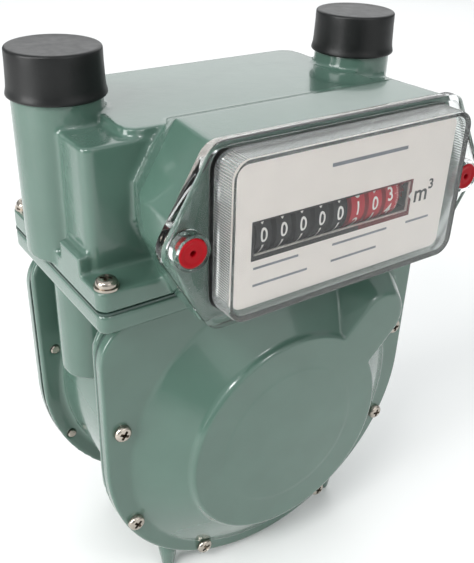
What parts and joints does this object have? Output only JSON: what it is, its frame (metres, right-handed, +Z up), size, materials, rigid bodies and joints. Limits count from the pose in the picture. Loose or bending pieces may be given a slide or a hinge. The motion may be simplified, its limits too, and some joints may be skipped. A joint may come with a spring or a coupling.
{
  "type": "diaphragm gas meter",
  "caption": "Domestic diaphragm gas meter with two top ports, a bolted cast case, a front index under a clear cover, and its inner valve, crank and counter gearing.",
  "frame": {"origin": "ground point in the middle of the footprint, between the two ports", "axes": "+Z up, the index faces -Y, +X to the right of a person who reads the index"},
  "size_m": [0.1638, 0.1224, 0.2252],
  "materials": {
    "case_paint": "gloss",
    "bright_screw": "polished",
    "plated_steel": "satin",
    "gasket": "matt",
    "cap_rubber": "satin",
    "clear_cover": "polished clear plastic",
    "red_plug": "gloss",
    "dial": "satin print",
    "frame_metal": "satin",
    "wheel_black": "satin",
    "wheel_red": "satin",
    "acetal": "satin",
    "valve_resin": "matt",
    "brass": "satin",
    "diaphragm_cloth": "matt",
    "plate_metal": "satin"
  },
  "bodies": {
    "case": {"upper_casing": "case_paint", "middle_body": "case_paint", "casing_gasket": "gasket", "front_cover": "case_paint", "rear_cover": "case_paint", "front_cover_gasket": "gasket", "rear_cover_gasket": "gasket", "front_cover_screws": "bright_screw", "rear_cover_screws": "bright_screw", "casing_screws": "bright_screw", "casing_washers": "bright_screw", "index_cover": "clear_cover", "index_gasket": "gasket", "index_screws": "bright_screw", "seal_plug_left": "red_plug", "seal_plug_right": "red_plug", "dial_plate": "dial", "counter_frame": "frame_metal", "wheel_axle": "plated_steel", "pinion_axle": "plated_steel", "drive_gland": "brass", "shaft_bracket": "acetal", "valve_seat": "valve_resin", "valve_post": "plated_steel", "flag_rod_bushes": "brass", "front_diaphragm": "diaphragm_cloth", "rear_diaphragm": "diaphragm_cloth", "diaphragm_clamp_rings": "plated_steel"},
    "inlet_cap": {"inlet_cap": "cap_rubber"},
    "outlet_cap": {"outlet_cap": "cap_rubber"},
    "crank": {"rotary_valve": "valve_resin", "crank": "acetal"},
    "drive": {"drive_shaft": "plated_steel", "worm_wheel": "acetal", "drive_gear": "acetal"},
    "bevel": {"bevel_shaft": "acetal", "change_gear": "acetal"},
    "wheel_8": {"number_wheel_8": "wheel_red"},
    "wheel_7": {"number_wheel_7": "wheel_red"},
    "wheel_6": {"number_wheel_6": "wheel_red"},
    "wheel_5": {"number_wheel_5": "wheel_black"},
    "wheel_4": {"number_wheel_4": "wheel_black"},
    "wheel_3": {"number_wheel_3": "wheel_black"},
    "wheel_2": {"number_wheel_2": "wheel_black"},
    "wheel_1": {"number_wheel_1": "wheel_black"},
    "pinion_7": {"carry_pinion_7": "acetal"},
    "pinion_6": {"carry_pinion_6": "acetal"},
    "pinion_5": {"carry_pinion_5": "acetal"},
    "pinion_4": {"carry_pinion_4": "acetal"},
    "pinion_3": {"carry_pinion_3": "acetal"},
    "pinion_2": {"carry_pinion_2": "acetal"},
    "pinion_1": {"carry_pinion_1": "acetal"},
    "front_flag_rod": {"front_flag_rod": "plated_steel"},
    "front_link": {"front_link": "plated_steel"},
    "front_plate": {"front_diaphragm_plate": "plate_metal"},
    "rear_flag_rod": {"rear_flag_rod": "plated_steel"},
    "rear_link": {"rear_link": "plated_steel"},
    "rear_plate": {"rear_diaphragm_plate": "plate_metal"}
  },
  "joints": [
    {"name": "inlet_cap_lift", "type": "slide", "parent": "case", "child": "inlet_cap", "axis": [0, 0, 1], "range_m": [0, 0.04]},
    {"name": "outlet_cap_lift", "type": "slide", "parent": "case", "child": "outlet_cap", "axis": [0, 0, 1], "range_m": [0, 0.04]},
    {"name": "crank_turn", "type": "hinge", "parent": "case", "child": "crank", "pos_m": [0, 0.0126, 0.1697], "axis": [0, 0, 1], "continuous": true},
    {"name": "drive_turn", "type": "hinge", "parent": "case", "child": "drive", "pos_m": [0.0167, 0.0126, 0.17077], "axis": [0, 1, 0], "continuous": true},
    {"name": "bevel_turn", "type": "hinge", "parent": "case", "child": "bevel", "pos_m": [0.034, -0.036, 0.181], "axis": [0, 1, 0], "continuous": true},
    {"name": "wheel_8_turn", "type": "hinge", "parent": "case", "child": "wheel_8", "pos_m": [0.01965, -0.0457, 0.181], "axis": [1, 0, 0], "continuous": true},
    {"name": "wheel_7_turn", "type": "hinge", "parent": "case", "child": "wheel_7", "pos_m": [0.0121, -0.0457, 0.181], "axis": [1, 0, 0], "continuous": true},
    {"name": "wheel_6_turn", "type": "hinge", "parent": "case", "child": "wheel_6", "pos_m": [0.00455, -0.0457, 0.181], "axis": [1, 0, 0], "continuous": true},
    {"name": "wheel_5_turn", "type": "hinge", "parent": "case", "child": "wheel_5", "pos_m": [-0.003, -0.0457, 0.181], "axis": [1, 0, 0], "continuous": true},
    {"name": "wheel_4_turn", "type": "hinge", "parent": "case", "child": "wheel_4", "pos_m": [-0.01055, -0.0457, 0.181], "axis": [1, 0, 0], "continuous": true},
    {"name": "wheel_3_turn", "type": "hinge", "parent": "case", "child": "wheel_3", "pos_m": [-0.0181, -0.0457, 0.181], "axis": [1, 0, 0], "continuous": true},
    {"name": "wheel_2_turn", "type": "hinge", "parent": "case", "child": "wheel_2", "pos_m": [-0.02565, -0.0457, 0.181], "axis": [1, 0, 0], "continuous": true},
    {"name": "wheel_1_turn", "type": "hinge", "parent": "case", "child": "wheel_1", "pos_m": [-0.0332, -0.0457, 0.181], "axis": [1, 0, 0], "continuous": true},
    {"name": "pinion_7_turn", "type": "hinge", "parent": "case", "child": "pinion_7", "pos_m": [0.01585, -0.0457, 0.17035], "axis": [1, 0, 0], "continuous": true},
    {"name": "pinion_6_turn", "type": "hinge", "parent": "case", "child": "pinion_6", "pos_m": [0.0083, -0.0457, 0.17035], "axis": [1, 0, 0], "continuous": true},
    {"name": "pinion_5_turn", "type": "hinge", "parent": "case", "child": "pinion_5", "pos_m": [0.00075, -0.0457, 0.17035], "axis": [1, 0, 0], "continuous": true},
    {"name": "pinion_4_turn", "type": "hinge", "parent": "case", "child": "pinion_4", "pos_m": [-0.0068, -0.0457, 0.17035], "axis": [1, 0, 0], "continuous": true},
    {"name": "pinion_3_turn", "type": "hinge", "parent": "case", "child": "pinion_3", "pos_m": [-0.01435, -0.0457, 0.17035], "axis": [1, 0, 0], "continuous": true},
    {"name": "pinion_2_turn", "type": "hinge", "parent": "case", "child": "pinion_2", "pos_m": [-0.0219, -0.0457, 0.17035], "axis": [1, 0, 0], "continuous": true},
    {"name": "pinion_1_turn", "type": "hinge", "parent": "case", "child": "pinion_1", "pos_m": [-0.02945, -0.0457, 0.17035], "axis": [1, 0, 0], "continuous": true},
    {"name": "front_flag_swing", "type": "hinge", "parent": "case", "child": "front_flag_rod", "pos_m": [0.04, -0.0114, 0.1197], "axis": [0, 0, 1], "range_deg": [-15, 15]},
    {"name": "front_link_pivot", "type": "hinge", "parent": "front_flag_rod", "child": "front_link", "pos_m": [0.02617, -0.01359, 0.1899], "axis": [0, 0, 1], "range_deg": [-15, 15]},
    {"name": "front_plate_travel", "type": "slide", "parent": "case", "child": "front_plate", "axis": [0, -1, 0], "range_m": [-0.0105, 0.0105]},
    {"name": "rear_flag_swing", "type": "hinge", "parent": "case", "child": "rear_flag_rod", "pos_m": [0.04, 0.0366, 0.1197], "axis": [0, 0, 1], "range_deg": [-15, 15]},
    {"name": "rear_link_pivot", "type": "hinge", "parent": "rear_flag_rod", "child": "rear_link", "pos_m": [0.02617, 0.03879, 0.1928], "axis": [0, 0, 1], "range_deg": [-15, 15]},
    {"name": "rear_plate_travel", "type": "slide", "parent": "case", "child": "rear_plate", "axis": [0, -1, 0], "range_m": [-0.0105, 0.0105]}
  ],
  "couplings": [
    {"joint": "drive_turn", "follows": "crank_turn", "ratio": 0.08},
    {"joint": "bevel_turn", "follows": "crank_turn", "ratio": -0.12},
    {"joint": "wheel_8_turn", "follows": "crank_turn", "ratio": -0.12},
    {"joint": "wheel_7_turn", "follows": "crank_turn", "ratio": -0.012},
    {"joint": "wheel_6_turn", "follows": "crank_turn", "ratio": -0.0012},
    {"joint": "wheel_5_turn", "follows": "crank_turn", "ratio": -0.00012},
    {"joint": "wheel_4_turn", "follows": "crank_turn", "ratio": -0.000012},
    {"joint": "wheel_3_turn", "follows": "crank_turn", "ratio": -0.0000012},
    {"joint": "wheel_2_turn", "follows": "crank_turn", "ratio": -0.00000012},
    {"joint": "wheel_1_turn", "follows": "crank_turn", "ratio": -0.000000012},
    {"joint": "pinion_7_turn", "follows": "crank_turn", "ratio": 0.03},
    {"joint": "pinion_6_turn", "follows": "crank_turn", "ratio": 0.003},
    {"joint": "pinion_5_turn", "follows": "crank_turn", "ratio": 0.0003},
    {"joint": "pinion_4_turn", "follows": "crank_turn", "ratio": 0.00003},
    {"joint": "pinion_3_turn", "follows": "crank_turn", "ratio": 0.000003},
    {"joint": "pinion_2_turn", "follows": "crank_turn", "ratio": 0.0000003},
    {"joint": "pinion_1_turn", "follows": "crank_turn", "ratio": 0.00000003},
    {"joint": "front_link_pivot", "follows": "front_flag_swing", "ratio": -1},
    {"joint": "front_plate_travel", "follows": "front_flag_swing", "m_per_rad": 0.04},
    {"joint": "rear_link_pivot", "follows": "rear_flag_swing", "ratio": -1},
    {"joint": "rear_plate_travel", "follows": "rear_flag_swing", "m_per_rad": 0.04}
  ]
}
